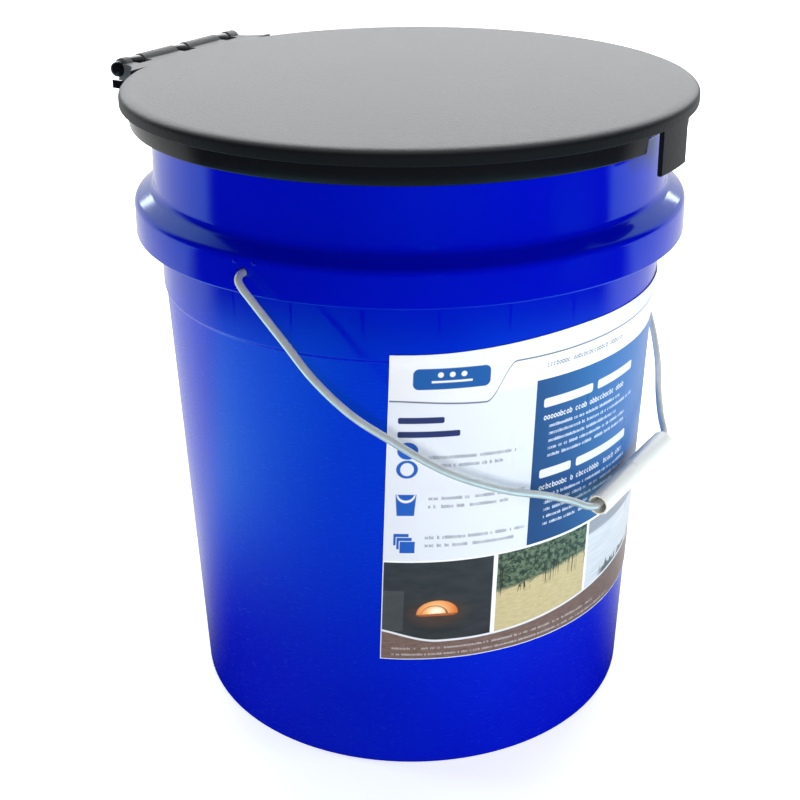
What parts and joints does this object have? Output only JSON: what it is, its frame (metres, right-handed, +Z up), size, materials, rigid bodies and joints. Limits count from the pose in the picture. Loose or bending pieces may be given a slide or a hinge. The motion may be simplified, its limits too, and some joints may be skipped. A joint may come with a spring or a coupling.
{
  "type": "portable camp toilet",
  "caption": "Tapered blue pail with a wire bail and grip, topped by a black toilet seat pressed on its rim and a hinged round grey lid with a front lift tab.",
  "frame": {"origin": "middle of the footprint's box, in the plane of the foot ring that it stands on; the pail's own axis is 6.4 mm in front of it, at y = -0.0064", "axes": "+Z up along the pail's axis, -Y towards the lid's front tab, +Y towards the lid hinge, X along the bail's axis"},
  "size_m": [0.3296, 0.3318, 0.369],
  "materials": {
    "pail_plastic": "smooth glossy moulded polyethylene, deep blue",
    "label_film": null,
    "bail_steel": "bright zinc plated wire",
    "grip_plastic": "satin off-white moulded tube",
    "seat_plastic": "smooth glossy black moulding",
    "lid_plastic": "fine grained dark grey moulding",
    "bag_film": "thin translucent film, folded flat"
  },
  "bodies": {
    "bucket": {"bucket_shell": "pail_plastic", "label": "label_film", "liner_bag_1": "bag_film", "liner_bag_2": "bag_film", "liner_bag_3": "bag_film"},
    "bail": {"bail_wire": "bail_steel"},
    "grip": {"bail_grip": "grip_plastic"},
    "seat": {"seat_ring": "seat_plastic", "hinge_pin": "seat_plastic"},
    "lid": {"lid": "lid_plastic"}
  },
  "joints": [
    {"name": "bail_swing", "type": "hinge", "parent": "bucket", "child": "bail", "pos_m": [0, -0.0064, 0.2985], "axis": [-1, 0, 0], "range_deg": [0, 267.4]},
    {"name": "grip_spin", "type": "hinge", "parent": "bail", "child": "grip", "pos_m": [0, -0.15244, 0.15894], "axis": [1, 0, 0], "continuous": true},
    {"name": "seat_lift", "type": "slide", "parent": "bucket", "child": "seat", "axis": [0, 0, 1], "range_m": [0, 0.03]},
    {"name": "lid_hinge", "type": "hinge", "parent": "seat", "child": "lid", "pos_m": [0, 0.1601, 0.3632], "axis": [-1, 0, 0], "range_deg": [0, 105]}
  ]
}
